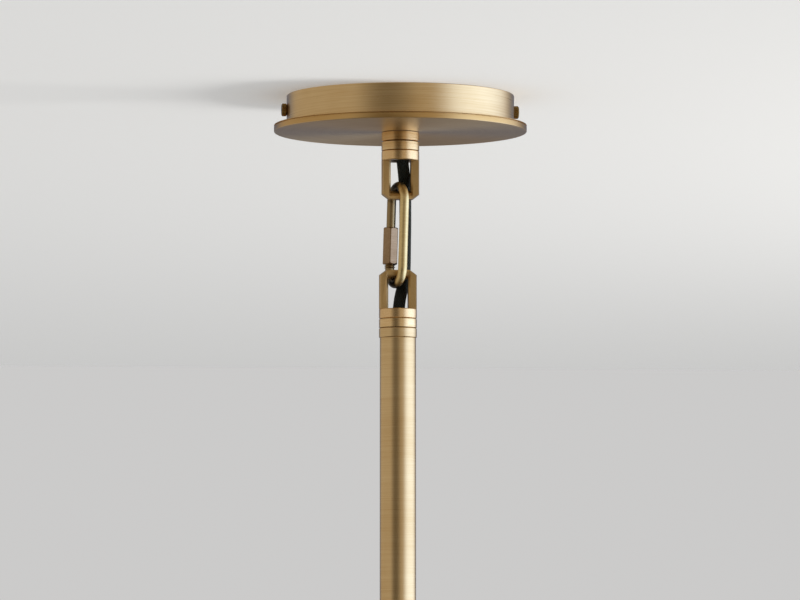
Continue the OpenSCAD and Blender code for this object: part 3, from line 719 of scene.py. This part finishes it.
def make_nut():
    """The nipple's nut: a hexagon with its corners slightly turned off."""
    _, x, top, foot = ends_of("nipple_nut")
    half, bore, sides = 8.5 * MM, NIPPLE_HOLE * MM, 180
    turn = turns(sides)
    six = np.minimum(hexagon(turn, half, 0), half / math.cos(math.pi / 6) - 0.15 * MM)
    heights = np.array([0, 0.4, 0.8, 1.2, 2.8, 3.2, 3.6, 4.0]) * MM
    end = np.minimum(heights, top - foot - heights)
    outer = np.minimum(six[None], (half + end * 1.1)[:, None])
    rings = np.array([np.full(sides, bore), *outer, np.full(sides, bore)])
    levels = np.concatenate([heights[:1], heights, heights[-1:]]) + foot
    return radial_grid("nipple_nut_hex", rings, levels, x, 25)


def knurled(node, way, length, r, teeth, neck, shank):
    """A knurled head with a shank, along way * X. neck and shank = (radius, length) in mm. The rim's radius falls
    by its tooth * ((1 + cos(teeth * angle)) / 2) ** 0.8."""
    low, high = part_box(node)
    face = high.x if way > 0 else low.x
    y0, z0 = (low.y + high.y) / 2, (low.z + high.z) / 2
    sides = teeth * 8
    turn = turns(sides)
    tooth = 0.34 * MM * (0.5 + 0.5 * np.cos(teeth * turn)) ** 0.8
    steps = [(0, 0, 0), (0, r - 1.1, 0), (0.06, r - 0.7, 0), (0.2, r - 0.4, 0), (0.42, r - 0.2, 0),
             (0.5, r - 0.02, 1), (0.62, r, 1), (length - 0.62, r, 1), (length - 0.5, r - 0.02, 1),
             (length - 0.42, r - 0.2, 0), (length - 0.1, r - 0.5, 0), (length, r - 0.8, 0)]
    if neck:
        steps += [(length, neck[0], 0), (length + neck[1], neck[0], 0)]
    far = length + (neck[1] if neck else 0)
    steps += [(far, shank[0], 0), (far + shank[1] - 0.4, shank[0], 0), (far + shank[1], shank[0] - 0.4, 0),
              (far + shank[1], 0, 0)]
    depth, radius, knurl = (np.array(column, float)[:, None] for column in zip(*steps))
    radius = radius * MM - tooth[None] * knurl
    x = np.broadcast_to(face - way * depth * MM, radius.shape)
    points = np.stack([x, y0 + radius * np.cos(turn), z0 + radius * np.sin(turn)], -1).reshape(-1, 3)
    return weld(shaped(node + "_knurled", points, grid_faces(len(steps), sides, False, True)))


def pan_screw(points_at, name, shank_r, length, head_r, head_h, way=1):
    """Pan-head screws at the given places, head up where way is 1, each with a crossed recess."""
    profile = [(0, -length), (shank_r - 0.3, -length), (shank_r, -length + 0.4), (shank_r, 0), (head_r - 0.1, 0),
               (head_r, 0.12), (head_r, head_h * 0.45), (head_r - head_h * 0.2, head_h * 0.78),
               (head_r - head_h * 0.5, head_h * 0.95), (head_r * 0.45, head_h), (0, head_h)]
    sides = 64
    turn = turns(sides)
    r, z = (np.array(column)[:, None] * MM * np.ones(sides) for column in zip(*profile))
    inner = np.linspace(0.45, 0.02, 8)[:, None] * head_r * MM * np.ones(sides)
    slot = np.minimum(np.abs(inner * np.cos(turn)), np.abs(inner * np.sin(turn))) < 0.14 * head_r * MM
    well = head_h * MM - slot * 0.45 * head_h * MM
    r, z = np.vstack([r[:-1], inner]), np.vstack([z[:-1], well])
    screw = np.stack([r * np.cos(turn), r * np.sin(turn), way * z], -1).reshape(-1, 3)
    faces = grid_faces(len(r), sides, False, True) + [[(len(r) - 1) * sides + k for k in range(sides)]]
    return joined(name, [(screw + np.asarray(place) * MM, faces) for place in points_at], 30)


# The routes in mm of the canopy's three short wires, from the cord grip.
WIRE_ROUTES = {
    "live_wire": [(-1.2, 0.8, -6.6), (-1.4, 1.6, -4.6), (-2, 4, -3.4), (-3, 9, -4.6), (-3.8, 14, -7),
                  (-4, 18, -10.5), (-4, 22, -11.8), (-4, 27, -11.8)],
    "neutral_wire": [(1.2, 0.8, -6.6), (1.4, 1.6, -4.6), (2, 4, -3.4), (3, 9, -4.6), (3.8, 14, -7),
                     (4, 18, -10.5), (4, 22, -11.8), (4, 27, -11.8)],
    "earth_wire": [(0.2, -1.5, -6.6), (0.8, -1.8, -4.6), (3, -1.8, -3.4), (8, -1, -4.2), (13, -0.3, -4),
                   (17, 0, -4)],
}


def make_shade():
    """The spun dome: radius = neck + (mouth - neck) * sin(a), height = seat - drop * (1 - cos(a)), with a
    rolled rim. The inner face is the same curve, one wall thickness in."""
    mouth, x, seat, rim = ends_mm("shade")
    neck, wall, hole, roll_r = 27.0, 1.0, 19.2, 0.85
    a = np.radians(np.linspace(2, 88, 44))
    out = np.stack([neck + (mouth - neck) * np.sin(a), seat - (seat - rim) * (1 - np.cos(a))], -1)
    back = np.stack([neck + (mouth - wall - neck) * np.sin(a[::-1]),
                     seat - wall - (seat - rim - wall) * (1 - np.cos(a[::-1]))], -1)
    lip = np.radians(np.linspace(15, -195, 12))
    roll = np.stack([mouth - roll_r + roll_r * np.cos(lip), rim + roll_r + roll_r * np.sin(lip)], -1)
    outline = np.vstack([[(hole, seat), (neck - 0.6, seat), (neck, seat - 0.02)], out, roll, back,
                         [(neck, seat - wall - 0.02), (neck - 0.6, seat - wall), (hole, seat - wall)]])
    return lathe("shade_spun", outline * MM, x * MM, 288, 40)


def make_holder_cap():
    """The spun cap over the lampholder: a quarter-ellipse shoulder from its neck to the holder's side."""
    r, x, top, foot = ends_mm("holder_cap")
    neck, rise, hole = 9.0, 16.0, 5.03
    a = np.radians(np.linspace(0, 90, 20))
    out = np.stack([neck + (r - neck) * np.sin(a), top - 2 - rise * (1 - np.cos(a))], -1)
    back = np.stack([neck - 2 + (r - neck + 0.6) * np.sin(a[::-1]),
                     top - 3.4 - (rise - 1.4) * (1 - np.cos(a[::-1]))], -1)
    outline = np.vstack([[(hole, top), (neck - 0.4, top), (neck, top - 0.4)], out, [(r, foot), (r - 1.4, foot)],
                         back, [(hole, top - 3.4)]])
    return lathe("holder_cap_spun", outline * MM, x * MM, 192, 40)


def make_holder_shell():
    """The lampholder's shell and the collar that the shade hangs on."""
    _, _, top, foot = ends_mm("holder_shell")
    inner, outer, collar = 17.6, 19, 25
    corners = [(inner, foot), (outer, foot), (outer, top - 10), (collar, top - 10), (collar, top - 8),
               (outer, top - 8), (outer, top), (inner, top)]
    return turned("holder_shell", corners, [0.5, 0.5, 0.3, 0.6, 0.6, 0.3, 0.15, 0.15], 192)


CAP_PITCH = 3.6 * MM  # of the bulb's round thread
CAP_SIDES = 96


def wound_thread(level, start, end):
    """1 on the bulb thread's ridges and 0 in its grooves, fading to 1 at both ends, by height and angle."""
    level = level[:, None]
    wave = 0.5 + 0.5 * np.cos(2 * math.pi * level / CAP_PITCH - turns(CAP_SIDES)[None])
    fade = np.clip(np.minimum(level - start, end - level) / (CAP_PITCH * 0.5), 0, 1)
    return 1 - (1 - wave) * fade


def make_bulb_cap():
    """The bulb's screw cap: its side is a round thread, and a solder dome ends it."""
    r, x, top, foot = ends_of("bulb_cap")
    level = np.arange(foot, top - 5 * MM, 0.25 * MM)
    side = r - 0.9 * MM * (1 - wound_thread(level, foot + 2 * MM, top - 5.4 * MM))
    crown = np.array([(12.6, -4.6), (10.5, -3.6), (8, -2.3), (6, -1.6), (5, -1.5), (4.6, -0.7), (3.4, -0.15),
                      (0, 0)])
    dome = crown[:, :1] * MM * np.ones(CAP_SIDES)
    inside = np.vstack([np.zeros((1, CAP_SIDES)), np.full((2, CAP_SIDES), r - 1.5 * MM)])
    levels = np.concatenate([[foot + 1 * MM, foot + 1 * MM, foot], level, top + crown[:, 1] * MM])
    return radial_grid("bulb_cap_threaded", np.vstack([inside, side, dome]), levels, x, 40, closed=False)


def make_screw_shell():
    """The lampholder's threaded shell, whose bore follows the bulb's thread."""
    r, x, top, foot = ends_of("holder_screw_shell")
    level = np.arange(foot, top, 0.3 * MM)
    bore = r - 0.68 * MM + 0.35 * MM * wound_thread(level, foot + 1 * MM, top - 1 * MM)
    outer = np.full((1, CAP_SIDES), r)
    rings = np.vstack([outer, bore, outer])
    levels = np.concatenate([level[:1], level, level[-1:]])
    return radial_grid("holder_shell_threaded", rings, levels, x, 40)


def make_glass():
    """The bulb's glass: a ball, and a curve (1-t)^2 A + 2t(1-t) B + t^2 C that leads into it from the neck."""
    r, x, top, foot = ends_mm("bulb_glass")
    centre = foot + r
    neck, wall = 12.5, 0.8
    a = np.radians(np.linspace(62, -90, 70))
    ball = np.stack([r * np.cos(a), centre + r * np.sin(a)], -1)
    t = np.linspace(0, 1, 14)[:, None]
    start, control = np.array([[neck, top]]), np.array([[neck, top - 6.5]])
    curve = (1 - t) ** 2 * start + 2 * t * (1 - t) * control + t**2 * ball[:1]
    outer = np.vstack([curve[:-1], ball])
    normal = np.gradient(outer, axis=0)
    normal = np.stack([-normal[:, 1], normal[:, 0]], -1)
    normal /= np.linalg.norm(normal, axis=1)[:, None]
    middle = 40  # a point on the ball, which tells which side is inward
    inner = outer + normal * wall * np.sign(normal[middle] @ (np.array([0, centre]) - outer[middle]))
    inner[-1, 0] = 0
    outer[-1, 0] = 0
    outline = np.vstack([outer, inner[::-1]])
    return lathe("bulb_glass_blown", outline * MM, x * MM, 128, 60)


def make_mount():
    """The glass stem inside the bulb: a flared foot, a thin rod and a bead at its end."""
    _, x, top, foot = ends_mm("bulb_mount")
    outline = [(0, foot), (1.6, foot + 0.2), (2.5, foot + 1), (2.6, foot + 2), (1.6, foot + 3.4), (1.5, foot + 16),
               (1.8, top - 20), (2.9, top - 6), (2.95, top - 0.6), (2.4, top), (0, top)]
    return lathe("bulb_mount_glass", np.array(outline) * MM, x * MM, 48, 60)


def make_filaments():
    """Four straight filaments from the stem's bead outward, each a thick middle between two thin leads."""
    _, x, _, _ = ends_of("bulb_mount")
    low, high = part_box("bulb_filaments")
    top = np.array([3.85 * MM, 0, high.z - 0.8 * MM])
    end = np.array([11 * MM, 0, low.z + 0.8 * MM])
    t = np.array([0, 0.002, 0.05, 0.09, 0.1, 0.5, 0.9, 0.91, 0.95, 0.998, 1])
    r = np.array([0, 0.25, 0.25, 0.25, 0.72, 0.75, 0.72, 0.25, 0.25, 0.25, 0]) * MM
    line = top + (end - top) * t[:, None]
    strips = []
    for turn in np.radians([45, 135, 225, 315]):
        path = np.stack([x + line[:, 0] * math.cos(turn), line[:, 0] * math.sin(turn), line[:, 2]], -1)
        strips.append(tube_parts(path, r[:, None] * np.ones(16), 16))
    return joined("bulb_filaments_strips", strips, 50)


# ---------- light and stage ----------


PLASTER = (0.8, 0.8, 0.79, 1)
CEILING_SHOWN, FLOOR_SHOWN = 0.19, 0.232
FLOOR_Z = -6.0
ROOM_SHOWN = (0.6, 0.595, 0.59, 1)
ROOM_LIGHT = (0.45, 0.45, 0.45, 1)
ROOM_MIRRORED = (0.455, 0.4, 0.31, 1)
# What metal mirrors besides: degrees to the right of the camera, degrees up, the degrees from there at which a
# patch starts and is full, and its colour. Behind the object, the glow of the key light, low in front, below.
PATCHES = (
    (180, 0, 50, 18, (0.14, 0.16, 0.225, 1)),
    (88, -12, 60, 14, (1.3, 1.55, 2.0, 1)),
    (-13, -15, 38, 8, (0.038, 0.027, 0.011, 1)),
    (0, -90, 60, 22, (0.1, 0.085, 0.06, 1)),
)


def make_light():
    """One broad soft light to the right. Metal doesn't see it, but the room's glow, whose edges are soft."""
    data = bpy.data.lights.new("key_right", "AREA")
    data.shape = "RECTANGLE"
    data.size, data.size_y = 0.8, 0.8
    data.energy = 34
    data.color = (1, 0.985, 0.96)
    key = linked("key_right", data)
    key.location = (1.9, -0.05, -0.72)
    key.rotation_mode = "QUATERNION"
    key.rotation_quaternion = (Vector((0, 0, -0.1)) - key.location).to_track_quat("-Z", "Y")
    key.visible_glossy = False


def facing(azimuth, up):
    """The direction that many degrees to the right of the camera and above the horizon, from the object."""
    turn, up = math.radians(azimuth) - VIEW_TURN, math.radians(up)
    return (math.sin(turn) * math.cos(up), -math.cos(turn) * math.cos(up), math.sin(up))


def pale_sheet(name, x, y, z, shown, facing_down):
    """A level plaster backdrop that is seen from one side only, and glows a little: shown is how much."""
    corners = [(x[0], y[0], z), (x[1], y[0], z), (x[1], y[1], z), (x[0], y[1], z)]
    mesh = bpy.data.meshes.new(name)
    mesh.from_pydata(corners, [], [[3, 2, 1, 0] if facing_down else [0, 1, 2, 3]])
    sheet = linked(name, mesh)
    material, n, shader = new_material(name + "_pale")
    n.fill(shader, Base_Color=PLASTER, Roughness=0.95, Emission_Color=(shown, shown, shown * 0.985, 1),
           Emission_Strength=1.0)
    clear = n.add("ShaderNodeBsdfTransparent")
    swap = n.add("ShaderNodeMixShader")
    n.link(n.add("ShaderNodeNewGeometry").outputs["Backfacing"], swap.inputs[0])
    n.link(shader.outputs[0], swap.inputs[1])
    n.link(clear.outputs[0], swap.inputs[2])
    n.link(swap.outputs[0], material.node_tree.nodes["Material Output"].inputs[0])
    sheet.data.materials.append(material)
    sheet.visible_glossy = False
    sheet.visible_diffuse = False
    sheet.visible_shadow = False
    return sheet


def make_stage():
    """A pale ceiling and floor, and a plain room: it has one colour for the camera, one that lights dull
    surfaces, and one with patches that metal and glass mirror."""
    ceiling = pale_sheet("stage_ceiling", (-3.5, 3.5), (-3.5, 2.45), 0.0002, CEILING_SHOWN, True)
    floor = pale_sheet("stage_floor", (-25, 25), (-25, 25), FLOOR_Z, FLOOR_SHOWN, False)
    world = bpy.data.worlds.new("room")
    bpy.context.scene.world = world
    world.use_nodes = True
    w = Nodes(world.node_tree)
    background = world.node_tree.nodes["Background"]
    ray = w.add("ShaderNodeLightPath").outputs
    toward = w.add("ShaderNodeTexCoord").outputs["Generated"]
    mirrored = ROOM_MIRRORED
    for azimuth, up, edge, core, colour in PATCHES:
        dot = w.add("ShaderNodeVectorMath")
        dot.operation = "DOT_PRODUCT"
        w.link(toward, dot.inputs[0])
        dot.inputs[1].default_value = facing(azimuth, up)
        inside = w.ramp(dot.outputs["Value"], math.cos(math.radians(edge)), math.cos(math.radians(core)))
        mirrored = w.mix(inside, mirrored, colour)
    seen = w.math("MAXIMUM", ray["Is Glossy Ray"], ray["Is Transmission Ray"])
    light = w.mix(seen, ROOM_LIGHT, mirrored)
    w.fill(background, Color=w.mix(ray["Is Camera Ray"], light, ROOM_SHOWN), Strength=1.0)


# ---------- assembly ----------

# Plain tubes: node, wall and rounding of the ends in mm.
TUBES = (
    ("outer_tube", 1.0, 0.35), ("inner_tube", 1.5, 0.4), ("mouth_bush", 0.92, 0.25), ("piston_bush", 0.92, 0.25),
    ("canopy_nipple", 1.7, 0.4), ("stem_nipple", 1.7, 0.4), ("lamp_nipple", 1.4, 0.3), ("nipple_washer", 5.47, 0.3),
)
# CAD nodes that only get softer edges, with the width of these in mm.
SOFTENED = (
    ("mounting_strap", 0.3), ("earth_tag", 0.12), ("terminal_block", 0.5), ("terminal_screws", 0.12),
    ("cord_grip", 0.6), ("clamp_collar", 0.4), ("clamp_set_screw", 0.12), ("lock_pad", 0.15), ("tube_stub", 0.35),
    ("holder_core", 0.5), ("centre_contact", 0.4), ("shade_ring", 0.3),
)


def build():
    """Dresses the part in its pieces and finishes, and sets up light, stage and camera."""
    make_camera()
    make_cord(braid_material())
    lines = turned_lines_group()
    stem_x = ends_of("outer_tube")[1]

    def brass(name, warm=(0.73, 0.51, 0.26), pale=(0.86, 0.655, 0.385), axis_x=0.0, **finish):
        return turned_brass(name, lines, axis_x, warm, pale, **finish)

    drawn = {"roughness": 0.36, "lines": 1.0, "depth": 0.000006, "brushed": 0}
    top_brass = brass("brushed_brass_canopy")
    disc_brass = darker_disc_rim(brass("brushed_brass_disc", flat=0.12))
    ring_brass = brass("brushed_brass_rings", (0.84, 0.57, 0.28), (0.99, 0.76, 0.46), roughness=0.2, brushed=0.25)
    shade_brass = brass("brushed_brass_shade", axis_x=stem_x, roughness=0.38)
    stem_brass = brass("brushed_brass_stem", axis_x=stem_x, lines=2.4)
    # Milled faces have nearly straight lines, round an axis that is far away.
    milled_brass = stirrup_collar_painted_lighter(brass("brushed_brass_milled", (0.61, 0.405, 0.175), (0.71, 0.5, 0.25), 0.3,
                                        roughness=0.36, lines=1.5, depth=0.00001, brushed=0))
    sleeve_brass = brass("sleeve_brass", (0.34, 0.225, 0.135), (0.46, 0.325, 0.21), **drawn)
    finishes = {
        "brushed_brass": stem_brass,
        "dark_brass": brass("dark_brass", (0.17, 0.1, 0.03), (0.33, 0.215, 0.08), roughness=0.24, brushed=0),
        "link_brass": link_painted_shade(brass("link_brass", (0.78, 0.6, 0.29), (0.92, 0.745, 0.41), **drawn)),
        "plain_brass": plain_finish("plain_brass", (0.8, 0.6, 0.3), 0.3, 1.0),
        "zinc_steel": plain_finish("zinc_steel", (0.6, 0.65, 0.71), 0.35, 1.0),
        "tinned": plain_finish("tinned", (0.74, 0.77, 0.79), 0.3, 1.0),
        "nickel": plain_finish("nickel", (0.71, 0.72, 0.72), 0.22, 1.0),
        "earth_green": plain_finish("earth_green", (0.25, 0.45, 0.1), 0.4),
        "brown_wire": plain_finish("brown_wire", (0.2, 0.09, 0.04), 0.4),
        "blue_wire": plain_finish("blue_wire", (0.06, 0.2, 0.5), 0.4),
        "white_nylon": plain_finish("white_nylon", (0.82, 0.81, 0.77), 0.45),
        "black_braid": plain_finish("black_braid_cut", (0.02, 0.02, 0.02), 0.7),
        "black_lead": plain_finish("black_lead", (0.02, 0.02, 0.02), 0.5),
        "ceramic": plain_finish("ceramic", (0.84, 0.83, 0.79), 0.25),
        "bulb_glass": glass_material(),
        "lamp_white": plain_finish("lamp_white", (0.85, 0.85, 0.82), 0.2),
        "filament": plain_finish("filament", (0.9, 0.62, 0.2), 0.5),
    }

    def place(obj, node):
        """Dresses a piece in its node's own finish, turned about the canopy's axis if it is fixed up there."""
        on_canopy = BODY_OF[node] == "ceiling_mount" and SLOT_OF[node] == "brushed_brass"
        dress(obj, node, top_brass if on_canopy else finishes[SLOT_OF[node]])

    place(make_drum(), "canopy_drum")
    dress(make_disc(), "canopy_disc", disc_brass)
    for node in ("collar_ring_1", "collar_ring_2", "lower_collar_ring"):
        dress(make_ring(node), node, ring_brass)
    for node in ("upper_stirrup", "lower_stirrup"):
        dress(softened(node + "_milled", node, 0.22 * MM), node, milled_brass)
    place(make_plug(), "stem_plug")
    for node, wall, edge in TUBES:
        place(make_tube(node, wall, edge), node)
    place(make_link(), "quick_link")
    dress(make_sleeve(), "link_sleeve", sleeve_brass)
    place(make_nut(), "nipple_nut")
    for node, way in (("side_screw_left", -1), ("side_screw_right", 1)):
        dress(knurled(node, way, 3, 3.55, 24, None, (2, 8)), node, finishes["dark_brass"])
    place(knurled("lock_screw", 1, 6, 4.5, 30, (2.7, 2), (2, 4)), "lock_screw")
    for node, width in SOFTENED:
        place(softened(node + "_softened", node, width * MM), node)
    corner = 55.8 * math.sqrt(0.5)
    flange = [(sx * corner, sy * corner, -15.1) for sx in (1, -1) for sy in (1, -1)]
    place(pan_screw(flange, "canopy_screws_pan", 1.5, 3.2, 2.8, 1.8), "canopy_screws")
    place(pan_screw([(26, 0, -2.4)], "earth_screw_pan", 2, 2.2, 3.5, 2.4, -1), "earth_screw")
    for node, route in WIRE_ROUTES.items():
        place(tube(node + "_insulated", smooth_path(np.array(route) * MM, 0.4 * MM), 1 * MM, 20), node)
    make_coil(finishes["black_lead"])
    low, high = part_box("lamp_lead")
    lead = [((low.x + high.x) / 2, 0, z) for z in np.linspace(high.z, low.z, 30)]
    place(tube("lamp_lead_round", lead, 2.5 * MM, 24), "lamp_lead")
    place(make_holder_cap(), "holder_cap")
    place(make_holder_shell(), "holder_shell")
    place(make_screw_shell(), "holder_screw_shell")
    dress(make_shade(), "shade", shade_brass)
    place(make_bulb_cap(), "bulb_cap")
    place(make_glass(), "bulb_glass")
    place(make_mount(), "bulb_mount")
    place(make_filaments(), "bulb_filaments")
    for node, obj in frame["nodes"].items():
        for slot in obj.material_slots:
            slot.material = finishes[SLOT_OF[node]]
    make_light()
    make_stage()
    bpy.context.scene.view_settings.view_transform = "Standard"


build()


def write_sizes():
    """Imports json, and does nothing else."""
    import json


write_sizes()
